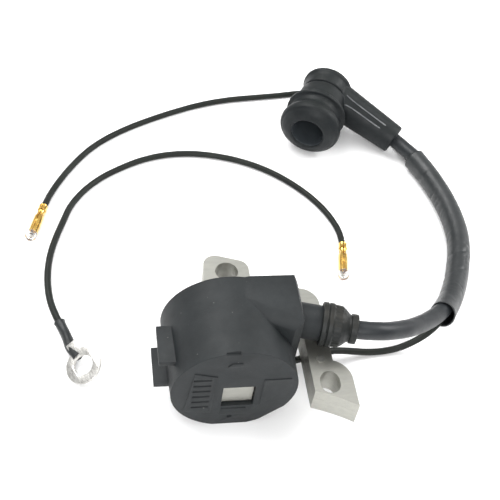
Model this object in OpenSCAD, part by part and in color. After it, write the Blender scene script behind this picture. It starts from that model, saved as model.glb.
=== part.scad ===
// Flywheel ignition coil with plug lead, stop wire and jumper lead.
// +X to the right of the pole face, +Y away from the flywheel, +Z along the bolt holes.
// The origin is the middle of the pole face that looks at the flywheel.

/* [Core] */
// Thickness of the lamination stack
core_t = 10; // [8:0.5:12]
// Width of the centre leg
pole_w = 10; // [8:0.5:11]
// Width of the side leg and of the yoke
leg_w = 8; // [7:0.5:9]
// Gap between the open back of the housing and the yoke
yoke_gap = 1.5; // [0.5:0.5:9.5]
// Gap between the outlet block and the side leg
leg_gap = 3; // [2:0.5:9]
// Radius of the flywheel that the pole faces sweep
flywheel_r = 72; // [55:1:100]
// Diameter of the round mounting hole in the rear lug
rear_hole_d = 8; // [5.5:0.1:9]
// Width of the mounting slot in the side leg
slot_w = 6.6; // [5.5:0.1:7]
// End-to-end length of the mounting slot
slot_l = 8.2; // [7.2:0.1:9.5]

/* [Housing] */
// Radius of the drum at its front face
drum_r = 20.4; // [19.5:0.1:24.5]
// How much the radius grows towards the open back
drum_draft = 1.1; // [0:0.1:2]
// Length of the drum
drum_l = 29; // [27:0.2:35]
// Wall of the drum
wall = 1.8; // [1.4:0.1:2.2]
// Outside diameter of the lead outlet neck
neck_d = 11.8; // [10.5:0.1:13]
// Angle of the neck towards the flywheel
neck_angle = 15; // [5:1:20]
// Room for the gland between the neck and the top of the core
neck_lift = 2.1; // [1.7:0.1:4]

/* [Leads] */
// Diameter of the plug lead
lead_d = 6.2; // [5:0.1:6.6]
// Diameter of the stop wire and the jumper wire
wire_d = 2.5; // [1.8:0.1:2.6]
// Length of the crimped push-on terminals
terminal_l = 15; // [12:0.5:18]
// Width of the push-on terminals
terminal_w = 3.6; // [3.2:0.1:4]
// Outside diameter of the ring terminal
ring_od = 13; // [11:0.5:15]
// Hole of the ring terminal
ring_id = 7; // [5.3:0.1:8.5]

/* [Plug boot] */
// Radius of the front flange
boot_flange_r = 13.1; // [12:0.1:13.1]
// Radius of the plug bore
boot_bore_r = 6.75; // [5.5:0.05:7.5]
// Length of the arm that takes the lead
boot_arm_l = 36.8; // [30:0.1:36.8]
// Angle between the nose and the arm
boot_bend = 78; // [70:1:95]

/* [Hidden] */

$fn = 64;
eps = 0.01;
floor_z = -16;
half_t = core_t / 2;

// drum, measured in a section that faces the flywheel
face_y = -1.5;
back_y = face_y + drum_l;
drum_c = [-1.5, 3.6];
block_top = drum_c[1] + drum_r + 1;
block_right = drum_c[0] + drum_r + 2.1;
window_gap = 0.25;
clip_y = [4.2, 14];
clip_t = 1.8;
clip_left = drum_c[0] - drum_r - 3.5;

// core plan, the legs and the yoke clear of the housing
yoke_w = leg_w + 1;
yoke_front = back_y + yoke_gap;
core_depth = yoke_front + yoke_w;
leg_x = block_right + leg_gap;
leg_right = leg_x + leg_w;
corner_r = 7;
yoke_left = -8;
rear_hole = [1.5, core_depth + 8.5];
rear_lug_r = 4.3;
slot_at = [leg_x + 5.5, -1];
side_lug_r = 7.8;
rivet_r = 1.2;
yoke_mid = core_depth - yoke_w / 2;
rivets = [[leg_x + leg_w / 2, 8], [leg_x - 6, yoke_mid], [-3, yoke_mid]];

// flat of the lower right side, and where the stop wire comes out of it
flat_low = [6.5, floor_z];
flat_high = [drum_c[0] + drum_r - 0.6, drum_c[1] - 8.4];
function flat_x(z) = flat_low[0] + (z - flat_low[1]) * (flat_high[0] - flat_low[0]) / (flat_high[1] - flat_low[1]);
grommet_r = 2.9;
stop_at = [17, -9.3];
stop_exit = flat_x(stop_at[1] + grommet_r) + 1;
boss_l = 6.6;

// outlet neck
neck_z = half_t + neck_d / 2 + neck_lift;
neck_at = [block_right - 0.4, 18.5, neck_z];
neck_end = 13;
neck_bore_r = lead_d / 2 + 0.2;
neck_bore_from = 3.2;
gland_from = 7.8;
gland_end = 19.8;

// windings round the centre leg
coil_gap = 1.2;
potting_to = back_y - 0.5;
potting_from = potting_to - 2.2;
coil_from = 3.4;
coil_to = potting_from - 1.8;
tube_gap = 0.3;
bobbin_half = max(pole_w, core_t) / 2 + tube_gap;
primary_core_r = bobbin_half * sqrt(2) + 0.4;
primary_r = primary_core_r + 1.6;
secondary_r = primary_r + 1.2;
secondary_out = -floor_z - wall - coil_gap;
board_z = 15;
board_t = 1.2;

// plug boot: its joint frame has +X out along the arm
boot_at = [59.2, 153.3, -0.9];
boot_turn = [1.7, 14, -38];
arm_bore_r = lead_d / 2 + 0.3;
arm_bore_from = 13;
flange_at = 24.4;
chamber_r = 4.3;
spring_r = 3.4;
spring_wire = 0.5;

// where the pole faces end, at distance x from the centre leg
function sweep_y(x) = sqrt(flywheel_r * flywheel_r - x * x) - flywheel_r;
// drum radius at height y along the drum
function drum_at(y) = drum_r + drum_draft * (y - face_y) / drum_l;
function unit(v) = v / norm(v);
// unit vectors of the boot's arm in the row's frame
arm_dir = [cos(boot_turn[1]) * cos(boot_turn[2]), cos(boot_turn[1]) * sin(boot_turn[2]), -sin(boot_turn[1])];
neck_dir = [cos(neck_angle), -sin(neck_angle), 0];

// ---- routes of the leads: points chosen by hand, heights above the bench where they lie ----
lie = floor_z + wire_d / 2;
lead_route = concat(
    [for (s = [4, 9.5, 15, gland_end]) neck_at + s * neck_dir],
    [[47, 12.8, 12.4], [57, 16, 8.4], [67.5, 22.5, 2.4], [77.5, 30.5, -2.6], [84.5, 38, -5.8],
     [90, 47, -8.2], [94.5, 56.5, -9.3], [98, 66, -9.7], [100.2, 75, -9.7], [100.8, 84, -9.7],
     [100.3, 93.5, -9.7], [98.8, 103, -9.7], [96.6, 112, -9.7], [94, 120, -9.9], [91, 126.3, -10.4]],
    [for (s = [boot_arm_l - 0.6, 26, 14]) boot_at + s * arm_dir]);
sleeve_route = [[79.3, 31, -4.1], [85, 38.7, -7.5], [90.3, 47.4, -9.8], [94.7, 56.7, -10.8],
    [98.1, 66, -11], [100.2, 75, -11], [100.8, 84, -11], [100.3, 93.5, -11], [98.8, 103, -11],
    [96.6, 112, -11], [94, 120, -11]];
stop_route = [[12, 17, -9.3], [18.5, 17, -9.3], [27, 18.6, -9.4], [34, 20.8, -9.6], [40, 22, -11],
    [46, 22.8, -13], [52, 23.2, -14.5], [58, 23.5, -14.7], [63.5, 23.9, -13.6], [69, 24.9, -11.4],
    [74.5, 27, -9], [79.7, 31, -7.7], [85, 38.8, -10.8], [90.3, 47.4, -13.2], [94.7, 56.7, -14.2],
    [98.1, 66, -14.2], [100.8, 84, -14.2], [98.8, 103, -14.2], [94, 120, -14.2], [91.8, 131, lie],
    [90, 141, lie], [86, 151, lie], [80, 160, lie], [72, 167, lie], [62, 170, lie], [51.5, 169.2, lie],
    [41, 167.5, lie], [30, 166, lie], [18, 164.2, lie], [5, 160.7, lie], [-7, 155.8, lie],
    [-18, 150.5, lie], [-28, 144.8, lie], [-36.5, 138.8, lie], [-44, 131.8, lie], [-50.5, 123.2, lie],
    [-56, 114, lie], [-60.2, 105.2, lie], [-62.6, 98.5, lie]];
jumper_route = [[-52.8, 31, lie], [-54.6, 37, lie], [-57.4, 44, lie], [-59.6, 51, lie], [-60.6, 58, lie],
    [-60.7, 66, lie], [-59.8, 74, lie], [-57.9, 82, lie], [-55.2, 90.5, lie], [-52.6, 98, lie],
    [-47.5, 106.5, lie], [-41, 113.5, lie], [-32, 120, lie], [-22.5, 125, lie], [-12, 128, lie],
    [-1, 128.5, lie], [10, 126.6, lie], [20.5, 122.8, lie], [30.5, 116.8, lie], [39.5, 108.6, lie],
    [46.5, 99.5, lie], [51, 90.5, lie], [53.2, 82, lie], [53.2, 75, lie]];
stop_end = [[-62.6, 98.5], [-67.2, 82]];
jumper_end = [[53.2, 75], [50.4, 60.5]];
ring_end = [[-52.8, 31], [-48.4, 21.6]];

// ---- general shapes ----
// a ring of points round p, square to direction d, with half width a and half height b
function ring(p, d, a, b, n) =
    let (side = unit(cross(d, [0, 0, 1])), up = cross(side, d))
    [for (i = [0:n - 1]) p + a * cos(360 * i / n) * side + b * sin(360 * i / n) * up];
// direction of a route at point i
function along(r, i) = unit(r[min(i + 1, len(r) - 1)] - r[max(i - 1, 0)]);
function rings(r, a, b, n) = [for (i = [0:len(r) - 1]) each ring(r[i], along(r, i), a, b, n)];
// quads between neighbouring rings that start at point k
function skin(k, m, n) = [for (i = [0:m - 2], j = [0:n - 1])
    [k + i * n + j, k + i * n + (j + 1) % n, k + (i + 1) * n + (j + 1) % n, k + (i + 1) * n + j]];
function flip(faces) = [for (f = faces) [for (i = [len(f) - 1:-1:0]) f[i]]];

// solid round tube along a route
module tube(r, d, n) {
    m = len(r);
    first = [for (j = [n - 1:-1:0]) j];
    last = [for (j = [0:n - 1]) (m - 1) * n + j];
    polyhedron(rings(r, d / 2, d / 2, n), flip(concat(skin(0, m, n), [first, last])), convexity = 6);
}

// hollow tube along a route, half width a and half height b, wall w
module hose(r, a, b, w, n) {
    m = len(r);
    k = m * n;
    front = [for (j = [0:n - 1]) [j, k + j, k + (j + 1) % n, (j + 1) % n]];
    back = [for (j = [0:n - 1]) let (e = (m - 1) * n) [e + j, e + (j + 1) % n, k + e + (j + 1) % n, k + e + j]];
    polyhedron(concat(rings(r, a, b, n), rings(r, a - w, b - w, n)),
        flip(concat(skin(0, m, n), flip(skin(k, m, n)), front, back)), convexity = 8);
}

// turns a shape drawn in the XZ plane into a wall from y0 to y1
module slab(y0, y1) {
    translate([0, y1, 0]) rotate([90, 0, 0]) linear_extrude(y1 - y0) children();
}

module at_neck() {
    translate(neck_at) rotate([0, 0, -neck_angle]) rotate([0, 90, 0]) children();
}

// where the stop wire leaves the housing, +Z outwards
module at_stop() {
    translate([stop_exit, stop_at[0], stop_at[1]]) rotate([0, 90, 0]) children();
}

module at_boot() {
    translate(boot_at) rotate(boot_turn) children();
}

// along the nose, +Z towards the plug
module at_nose() {
    at_boot() rotate([0, 0, -boot_bend]) rotate([0, 90, 0]) children();
}

// places a terminal that lies from one point to another, +X along it
module from_to(e) {
    v = e[1] - e[0];
    translate([e[0][0], e[0][1], 0]) rotate([0, 0, atan2(v[1], v[0])]) children();
}

// ---- core ----
module core_outline() {
    difference() {
        union() {
            translate([-pole_w / 2, 0]) square([pole_w, core_depth]);
            translate([yoke_left, yoke_front]) square([leg_right - corner_r - yoke_left, core_depth - yoke_front]);
            translate([leg_right - corner_r, core_depth - corner_r]) intersection() {
                circle(corner_r);
                square(corner_r);
            }
            translate([leg_x, slot_at[1]]) square([leg_w, core_depth - corner_r - slot_at[1]]);
            translate(rear_hole) rear_lug();
            intersection() {
                translate(slot_at + [0, 0.8]) circle(side_lug_r);
                translate([leg_x, slot_at[1]]) square(2 * side_lug_r);
            }
            side_end();
        }
        translate(rear_hole) circle(d = rear_hole_d);
        for (s = [-1, 1]) translate(slot_at + [0, s * (slot_l - slot_w) / 2]) circle(d = slot_w);
        translate(slot_at - [slot_w, slot_l - slot_w] / 2) square([slot_w, slot_l - slot_w]);
        for (p = rivets) translate(p) circle(rivet_r);
    }
}

// lug round the rear hole, its top slanting down to the right
module rear_lug() {
    polygon([[-9.1, -10.5], [-7.9, 3.2], [-2.3, 7.3], [5, 5], [8, 0.9], [8, -10.5]]);
    translate([-3.6, 3.2]) circle(rear_lug_r);
    translate([3.7, 0.9]) circle(rear_lug_r);
}

// the end of the side leg, cut to the sweep of the flywheel
module side_end() {
    right = slot_at[0] + side_lug_r;
    polygon([[leg_x, slot_at[1] + 1], [leg_x, sweep_y(leg_x)], [right, sweep_y(right)], [right, slot_at[1] + 0.8]]);
}

module core_stack() {
    color([0.72, 0.72, 0.68]) translate([0, 0, -half_t]) linear_extrude(core_t) core_outline();
}

module core_rivets() {
    head_r = rivet_r + 0.25;
    head_t = 0.3;
    color([0.6, 0.6, 0.6]) for (p = rivets) translate([p[0], p[1], 0]) {
        cylinder(r = rivet_r - 0.02, h = core_t + 2 * head_t, center = true);
        for (s = [-1, 1]) translate([0, 0, s * (half_t + head_t / 2)]) cylinder(r = head_r, h = head_t, center = true);
    }
}

// ---- housing ----
// drum, inset by t, between two heights
module drum(t, y0, y1) {
    intersection() {
        translate([drum_c[0], y0, drum_c[1]]) rotate([-90, 0, 0])
            cylinder(r1 = drum_at(y0) - t, r2 = drum_at(y1) - t, h = y1 - y0, $fn = 128);
        slab(y0 - 1, y1 + 1) drum_cuts(t);
    }
}

// half planes that flatten the bottom and the lower right of the drum
module drum_cuts(t) {
    reach = 60;
    v = unit(flat_high - flat_low);
    in = t * [-v[1], v[0]];
    far = flat_high + in + 30 * v;
    polygon([[-reach, floor_z + t], flat_low + in, far, [reach, reach], [-reach, reach]]);
}

// outlet block, inset by t
module outlet_block(t) {
    top = block_top - t;
    right = block_right - t;
    intersection() {
        linear_extrude(top) polygon([[0, back_y], [0, 16.4 + t], [6.4, 13.3 + t], [right - 4.2, 7.6 + t],
            [right - 1.4, 9 + t], [right, 13], [right, back_y]]);
        slab(face_y, back_y) polygon([[0, 8], [0, top - 0.9], [5, top], [right - 1.6, top], [right, top - 4],
            [right, 3 + t], [right - 6, t], [8, t]]);
        rolled_edge(t, top, right);
    }
}

// room under a large round where the block's top rolls into its front
module rolled_edge(t, top, right) {
    r = 7 - t;
    reach = 60;
    front = -0.6;
    axis_z = top - r + 0.15;
    translate([6.4, 13.3 + t, 0]) rotate([0, 0, atan2(-5.7, right - 10.6)]) translate([-reach, front, 0]) {
        translate([0, r, -reach]) cube([2 * reach, reach, 2 * reach]);
        translate([0, 0, -reach]) cube([2 * reach, r + 1, reach + axis_z]);
        translate([0, r, axis_z]) rotate([0, 90, 0]) cylinder(r = r, h = 2 * reach);
    }
}

module housing() {
    color([0.27, 0.28, 0.3]) difference() {
        union() {
            drum(0, face_y, back_y);
            outlet_block(0);
            at_neck() translate([0, 0, -2]) cylinder(d = neck_d, h = neck_end + 2);
            wire_clips();
            face_reliefs();
            at_stop() translate([0, 0, -boss_l]) cylinder(r = grommet_r + 0.2, h = boss_l);
        }
        difference() {
            union() {
                drum(wall, face_y + wall, back_y + 1);
                translate([0, eps, 0]) outlet_block(wall);
            }
            at_neck() translate([0, 0, -3]) cylinder(d = neck_d - 1, h = 12);
        }
        slab(face_y - 1, face_y + wall + 1)
            square([pole_w, core_t] + 2 * window_gap * [1, 1], center = true);
        at_neck() translate([0, 0, neck_bore_from]) cylinder(r = neck_bore_r, h = neck_end);
        at_neck() translate([0, 0, -4]) cylinder(r = 1.3, h = 12);
        at_stop() translate([0, 0, -stop_exit]) cylinder(r = 2.1, h = 30);
        // notch in the front rim and the mark of the ejector pin
        translate([-6, face_y - 1, drum_c[1] + drum_r - 1]) cube([4.4, 1.7, 4]);
        translate([-1.9, face_y - 1, -11.5]) rotate([-90, 0, 0]) cylinder(r = 0.8, h = 1.4);
    }
}

// two plates on the left that hold wires between them
module wire_clips() {
    difference() {
        union() {
            translate([clip_left, clip_y[0], 10.8]) cube([10, clip_y[1], clip_t]);
            translate([clip_left - 1.2, clip_y[0], -0.8]) cube([10, clip_y[1], clip_t]);
        }
        drum(wall / 2, face_y + eps, back_y - eps);
    }
}

// shallow raised panels on the front face, with plain bars instead of any mark
module face_reliefs() {
    proud = 0.3;
    slab(face_y - proud, face_y + 0.5) {
        difference() {
            polygon([[-17.3, -6.8], [-8.4, -8.4], [-7.6, 11.8], [-14.9, 14.1]]);
            for (z = [-5:3:10]) translate([-15, z]) square([5.6, 1.1]);
        }
        difference() {
            translate([7.4, -5]) square([8.8, 14]);
            translate([7.9, -5.5]) square([8.8, 14]);
        }
        translate([-5, -10]) square([8, 3.4]);
        polygon([[-5, 17], [-3.6, 18.6], [-0.4, 18.6], [-0.4, 17]]);
    }
}

module potting() {
    color([0.1, 0.1, 0.11]) difference() {
        union() {
            drum(wall + 0.05, potting_from, potting_to);
            intersection() {
                outlet_block(wall + 0.05);
                translate([0, potting_from, 0]) cube([40, potting_to - potting_from, 40]);
            }
        }
        cube([pole_w + 0.1, 80, core_t + 0.1], center = true);
    }
}

// ---- windings ----
module square_tube(y0, y1) {
    translate([-bobbin_half, y0 - 1, -bobbin_half]) cube([2 * bobbin_half, y1 - y0 + 2, 2 * bobbin_half]);
}

module ring_y(y0, y1, r_out, r_in) {
    translate([0, y0, 0]) rotate([-90, 0, 0]) difference() {
        cylinder(r = r_out, h = y1 - y0);
        translate([0, 0, -1]) cylinder(r = r_in, h = y1 - y0 + 2);
    }
}

module primary_bobbin() {
    color([0.85, 0.83, 0.75]) difference() {
        union() {
            translate([0, coil_from, 0]) rotate([-90, 0, 0]) cylinder(r = primary_core_r, h = coil_to - coil_from);
            for (y = [coil_from, coil_to - 1]) ring_y(y, y + 1, primary_r, 1);
        }
        square_tube(coil_from, coil_to);
    }
}

module primary_winding() {
    color([0.72, 0.4, 0.2]) ring_y(coil_from + 1.05, coil_to - 1.05, primary_r - 0.15, primary_core_r + 0.02);
}

module winding_tape() {
    color([0.85, 0.75, 0.3]) ring_y(coil_from, coil_to, primary_r + 0.25, primary_r + 0.02);
}

module secondary_bobbin() {
    color([0.2, 0.35, 0.3]) {
        ring_y(coil_from, coil_to, secondary_r, primary_r + 0.3);
        for (i = [0:5]) ring_y(secondary_rib(i), secondary_rib(i) + 0.8, secondary_out, primary_r + 0.3);
    }
}

function secondary_rib(i) = coil_from + i * (coil_to - coil_from - 0.8) / 5;

module secondary_winding() {
    color([0.6, 0.3, 0.15]) for (i = [0:4])
        ring_y(secondary_rib(i) + 0.85, secondary_rib(i + 1) - 0.05, secondary_out - 0.5, secondary_r + 0.03);
}

// ---- electronics over the windings ----
module circuit_board() {
    color([0.1, 0.35, 0.2]) translate([-13, coil_from, board_z]) cube([24, coil_to - coil_from, board_t]);
}

board_top = board_z + board_t;

module control_chip() {
    color([0.12, 0.12, 0.12]) translate([-8, 6, board_top]) cube([5, 6.5, 1.6]);
}

module power_transistor() {
    color([0.15, 0.15, 0.15]) translate([-1, 5, board_top]) cube([9, 7.5, 2.4]);
}

module board_capacitor() {
    color([0.7, 0.25, 0.15]) translate([-8, 15, board_top]) cube([7.5, 4, 3.2]);
}

module board_resistors() {
    color([0.75, 0.65, 0.45]) for (x = [2, 5.4]) translate([x, 14.5, board_top + 1.1]) rotate([-90, 0, 0]) cylinder(r = 1.1, h = 6);
}

module trigger_coil() {
    color([0.7, 0.4, 0.2]) translate([-10.5, 13.4, board_top]) difference() {
        cylinder(r = 1.9, h = 1.8);
        translate([0, 0, -1]) cylinder(r = 0.8, h = 4);
    }
}

module earth_strap() {
    strap_y = coil_to + 0.5;
    color([0.75, 0.6, 0.3]) {
        translate([-2, strap_y, half_t]) cube([3, 0.4, board_z - half_t + board_t]);
        translate([-2, coil_to - 2.5, board_top]) cube([3, strap_y + 0.4 - coil_to + 2.5, 0.3]);
    }
}

// stiff wire from the winding's end to the outlet stud
module ht_link() {
    base = neck_at - 4.1 * neck_dir;
    color([0.8, 0.5, 0.25]) {
        translate([base[0], base[1], 0]) translate([0, 0, 8]) cylinder(r = 0.5, h = neck_z - 8 - 0.8);
        translate([secondary_out * 0.82, base[1], 8]) rotate([0, 90, 0]) cylinder(r = 0.5, h = base[0] - secondary_out * 0.82);
        translate([base[0], base[1], 8]) sphere(0.5);
    }
}

module outlet_stud() {
    color([0.75, 0.6, 0.25]) at_neck() {
        translate([0, 0, -5]) cylinder(r = 0.8, h = 12.5);
        translate([0, 0, 7.5]) cylinder(r1 = 0.8, r2 = 0.1, h = 1.6);
    }
}

// ---- rubber gland over the neck ----
module gland() {
    inner = neck_d / 2 + 0.04;
    lead_r = lead_d / 2 + 0.03;
    step = neck_end + 0.3;
    color([0.2, 0.21, 0.21]) at_neck() {
        rotate_extrude() polygon([[inner, gland_from], [inner + 1.3, gland_from], [inner + 1.4, gland_from + 1.6],
            [inner + 0.9, gland_from + 1.9], [inner + 1.4, gland_from + 2.2], [inner + 1.3, gland_from + 3.6],
            [inner + 0.9, gland_from + 4], [inner + 0.8, gland_from + 6.4], [inner + 0.1, gland_from + 7.6],
            [lead_r + 1.6, gland_from + 9], [lead_r + 1.3, gland_end - 2.3], [lead_r + 1.8, gland_end - 2.2],
            [lead_r + 1.8, gland_end - 0.2], [lead_r + 1.6, gland_end], [lead_r, gland_end], [lead_r, step],
            [inner, step]]);
        translate([0.573 * inner, 0.842 * inner, gland_from - 1.6]) cube([2.4, 2, 1.7]);
    }
}

module stop_grommet() {
    bore_r = wire_d / 2 + 0.05;
    color([0.12, 0.12, 0.12]) at_stop() rotate_extrude()
        polygon([[bore_r, -4.2], [2.05, -4.2], [2.05, 0.05], [grommet_r, 0.05], [grommet_r - 0.2, 1], [bore_r, 1]]);
}

// ---- leads ----
module ht_lead() {
    color([0.3, 0.31, 0.33]) difference() {
        tube(lead_route, lead_d, 12);
        at_neck() translate([0, 0, 3.5]) cylinder(r = 0.95, h = 6.5);
        at_boot() translate([13, 0, 0]) rotate([0, 90, 0]) cylinder(r = 0.9, h = 6);
    }
}

module sleeve() {
    color([0.31, 0.32, 0.34]) hose(sleeve_route, lead_d / 2 + 1.3, (lead_d + wire_d) / 2 + 0.65, 0.5, 12);
}

module stop_wire() {
    color([0.25, 0.27, 0.24]) tube(stop_route, wire_d, 8);
}

module jumper_wire() {
    color([0.25, 0.27, 0.24]) tube(jumper_route, wire_d, 8);
}

// brass push-on terminal: open crimp on the wire, then a round socket, +X out
module push_on() {
    crimp_l = 5;
    socket_l = terminal_l - crimp_l - 1;
    socket_r = terminal_w / 2;
    bore_r = socket_r - 0.4;
    up = floor_z + socket_r + 0.02;
    color([0.85, 0.68, 0.3]) translate([0, 0, up]) {
        translate([crimp_l + 1, 0, 0]) rotate([0, 90, 0]) difference() {
            cylinder(r = socket_r, h = socket_l);
            translate([0, 0, 1]) cylinder(r = bore_r, h = socket_l);
        }
        translate([0.02, -socket_r + 0.3, -socket_r]) cube([crimp_l + 1.2, terminal_w - 0.6, 0.4]);
        for (s = [-1, 1], x = [0.02, 3]) translate([x, s * (socket_r - 0.35) - 0.2, -socket_r]) cube([2.2, 0.4, terminal_w * 0.75]);
    }
}

// clear cap pushed over the socket's mouth
module push_on_cover() {
    r = terminal_w / 2;
    up = floor_z + r + 0.6;
    color([0.9, 0.9, 0.9, 0.5]) translate([terminal_l + 0.05, 0, up]) rotate([0, 90, 0]) difference() {
        union() {
            cylinder(r = r + 0.3, h = 2.2);
            translate([0, 0, 2.2]) cylinder(r1 = r + 0.3, r2 = r - 0.5, h = 1.2);
        }
        translate([0, 0, -1]) cylinder(r = r - 0.6, h = 3);
    }
}

module stop_terminal() { from_to(stop_end) push_on(); }
module stop_terminal_cover() { from_to(stop_end) push_on_cover(); }
module jumper_terminal() { from_to(jumper_end) push_on(); }
module jumper_terminal_cover() { from_to(jumper_end) push_on_cover(); }

// tinned ring, rolled so that its far edge rests on the bench
module ring_terminal() {
    plate = 0.9;
    roll = 31;
    out = 10.4;
    barrel_r = wire_d / 2 + 0.5;
    color([0.82, 0.81, 0.78]) from_to(ring_end) translate([0, 0, floor_z + ring_od / 2 * sin(roll) + 0.5])
        rotate([roll, 0, 0]) {
            difference() {
                union() {
                    translate([out, 0, 0]) cylinder(d = ring_od, h = plate, center = true);
                    translate([0, -barrel_r, -plate / 2]) cube([out - ring_id / 2 - 0.6, 2 * barrel_r, plate]);
                }
                translate([out, 0, -2]) cylinder(d = ring_id, h = 4);
            }
        }
}

module ring_tubing() {
    color([0.22, 0.23, 0.24]) tube([[-56.3, 41.2, lie + 0.45], [-54.6, 37, lie + 0.45], [-52.8, 31, lie + 0.7],
        [-51.4, 27.6, lie + 1.4], [-50.2, 25.4, lie + 2]], wire_d + 1.5, 10);
}

// ---- plug boot ----
module plug_boot() {
    f = flange_at;
    R = boot_flange_r;
    color([0.2, 0.215, 0.23]) difference() {
        union() {
            at_nose() rotate_extrude() polygon([[0, -5.9], [6, -5.8], [8.4, -5], [9, -3.4], [R - 2.2, -3],
                [R - 2.1, -1.4], [R - 2.6, -0.8], [10.2, 0.4], [9.9, 4.1], [8.9, 4.4], [8.9, 5.1], [10.3, 5.5],
                [10.8, 12.4], [R - 0.5, 14.2], [R - 0.1, 15], [R - 0.2, 16.1], [R - 1.4, 16.8], [R - 1.9, 18.4],
                [R - 1.3, 20.6], [R - 0.4, 22], [R, 23.2], [R, f],
                [R - 1.1, f + 2.2], [R - 3.2, f + 3.8], [boot_bore_r + 0.4, f + 4.4], [0, f + 4.4]]);
            rotate_arm() cylinder(r1 = 8.3, r2 = 6.3, h = boot_arm_l - 0.6);
            rotate_arm() translate([0, 0, boot_arm_l - 0.6]) cylinder(r1 = 6.3, r2 = 5.7, h = 0.6);
        }
        at_nose() translate([0, 0, 7]) cylinder(r = boot_bore_r, h = 40);
        at_nose() translate([0, 0, -4.4]) cylinder(r = chamber_r, h = 20);
        rotate_arm() translate([0, 0, arm_bore_from]) cylinder(r = arm_bore_r, h = 40);
        rotate_arm() cylinder(r = 0.9, h = 20);
    }
}

// along the arm, +Z towards its mouth
module rotate_arm() {
    at_boot() rotate([0, 90, 0]) children();
}

// rings of the coil spring joined by a rib, with a straight spike into the lead's core
module contact_spring() {
    color([0.8, 0.8, 0.78]) {
        at_nose() {
            for (i = [0:5]) translate([0, 0, i * 1.5 - 1.6]) rotate_extrude() translate([spring_r, 0]) circle(spring_wire, $fn = 24);
            translate([-spring_r, 0, -1.6]) cylinder(r = spring_wire, h = 7.5);
        }
        rotate_arm() translate([0, 0, spring_r - 0.2]) cylinder(r = spring_wire, h = arm_bore_from + 5 - spring_r);
    }
}

module spring_cup() {
    color([0.8, 0.75, 0.5]) at_nose() translate([0, 0, -4.35]) cylinder(r = chamber_r - 0.05, h = 0.8);
}

core_stack();
core_rivets();
housing();
potting();
primary_bobbin();
primary_winding();
winding_tape();
secondary_bobbin();
secondary_winding();
circuit_board();
control_chip();
power_transistor();
board_capacitor();
board_resistors();
trigger_coil();
earth_strap();
ht_link();
outlet_stud();
gland();
stop_grommet();
ht_lead();
sleeve();
stop_wire();
stop_terminal();
stop_terminal_cover();
jumper_wire();
ring_terminal();
ring_tubing();
jumper_terminal();
jumper_terminal_cover();
plug_boot();
contact_spring();
spring_cup();
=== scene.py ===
import bpy
import bmesh
import math
import numpy as np
from mathutils import Matrix, Vector


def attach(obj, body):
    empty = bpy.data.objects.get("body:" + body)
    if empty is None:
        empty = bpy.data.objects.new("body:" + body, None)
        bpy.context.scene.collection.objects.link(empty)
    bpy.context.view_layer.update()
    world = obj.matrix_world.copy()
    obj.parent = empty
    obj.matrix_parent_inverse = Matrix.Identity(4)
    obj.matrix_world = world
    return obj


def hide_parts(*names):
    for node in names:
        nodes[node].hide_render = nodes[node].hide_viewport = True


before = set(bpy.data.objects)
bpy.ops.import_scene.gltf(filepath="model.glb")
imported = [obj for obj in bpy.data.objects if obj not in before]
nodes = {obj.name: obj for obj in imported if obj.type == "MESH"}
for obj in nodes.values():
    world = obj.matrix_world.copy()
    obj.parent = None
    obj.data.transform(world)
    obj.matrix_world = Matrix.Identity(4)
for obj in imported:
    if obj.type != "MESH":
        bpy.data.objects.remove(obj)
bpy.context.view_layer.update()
mm = 0.001
print("frame loaded,", len(nodes), "nodes")

# the photo's camera: place in metres, lens in millimetres
cameraSet = {"place": (-0.04628, -0.15515, 0.24579), "forward": (0.1763, 0.6493, -0.7399),
             "up": (0.0245, 0.7486, 0.6627), "lens": 65.41}


def addCamera():
    data = bpy.data.cameras.new("viewCamera")
    data.lens = cameraSet["lens"]
    data.sensor_width = 36
    data.clip_start = 0.01
    data.clip_end = 20
    camera = bpy.data.objects.new("viewCamera", data)
    bpy.context.scene.collection.objects.link(camera)
    forward = Vector(cameraSet["forward"]).normalized()
    right = forward.cross(Vector(cameraSet["up"])).normalized()
    up = right.cross(forward)
    turn = Matrix((right, up, -forward)).transposed().to_4x4()
    camera.matrix_world = Matrix.Translation(cameraSet["place"]) @ turn
    bpy.context.scene.camera = camera


addCamera()
print("camera placed")


# empty material with one shader
def newMaterial(name):
    mat = bpy.data.materials.new(name)
    mat.use_nodes = True
    tree = mat.node_tree
    tree.nodes.clear()
    out = tree.nodes.new("ShaderNodeOutputMaterial")
    shader = tree.nodes.new("ShaderNodeBsdfPrincipled")
    tree.links.new(shader.outputs[0], out.inputs[0])
    return mat, tree, shader


def setInputs(node, values):
    for key, value in values.items():
        node.inputs[key].default_value = value


def noiseNode(tree, coords, size, detail=3.0, rough=0.5):
    node = tree.nodes.new("ShaderNodeTexNoise")
    setInputs(node, {"Scale": size, "Detail": detail, "Roughness": rough})
    tree.links.new(coords, node.inputs["Vector"])
    return node.outputs["Fac"]


def rampNode(tree, fac, low, high, lowColor, highColor):
    node = tree.nodes.new("ShaderNodeValToRGB")
    node.color_ramp.elements[0].position = low
    node.color_ramp.elements[1].position = high
    node.color_ramp.elements[0].color = (*lowColor, 1)
    node.color_ramp.elements[1].color = (*highColor, 1)
    tree.links.new(fac, node.inputs["Fac"])
    return node.outputs["Color"]


def mixColor(tree, fac, first, second):
    node = tree.nodes.new("ShaderNodeMix")
    node.data_type = "RGBA"
    tree.links.new(fac, node.inputs[0])
    for socket, value in (("A", first), ("B", second)):
        target = [i for i in node.inputs if i.name == socket and i.type == "RGBA"][0]
        if isinstance(value, tuple):
            target.default_value = (*value, 1)
        else:
            tree.links.new(value, target)
    return [o for o in node.outputs if o.type == "RGBA"][0]


finishSizes = {"grainBump": 0.00006, "dustScale": 240.0, "dustRange": (0.3, 0.75), "fleckEdge": 0.03,
               "toneRange": (0.32, 0.68), "roughRange": (0.3, 0.7), "roughScale": 2.3, "coatRough": 0.25,
               "softenSamples": 6}


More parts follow.
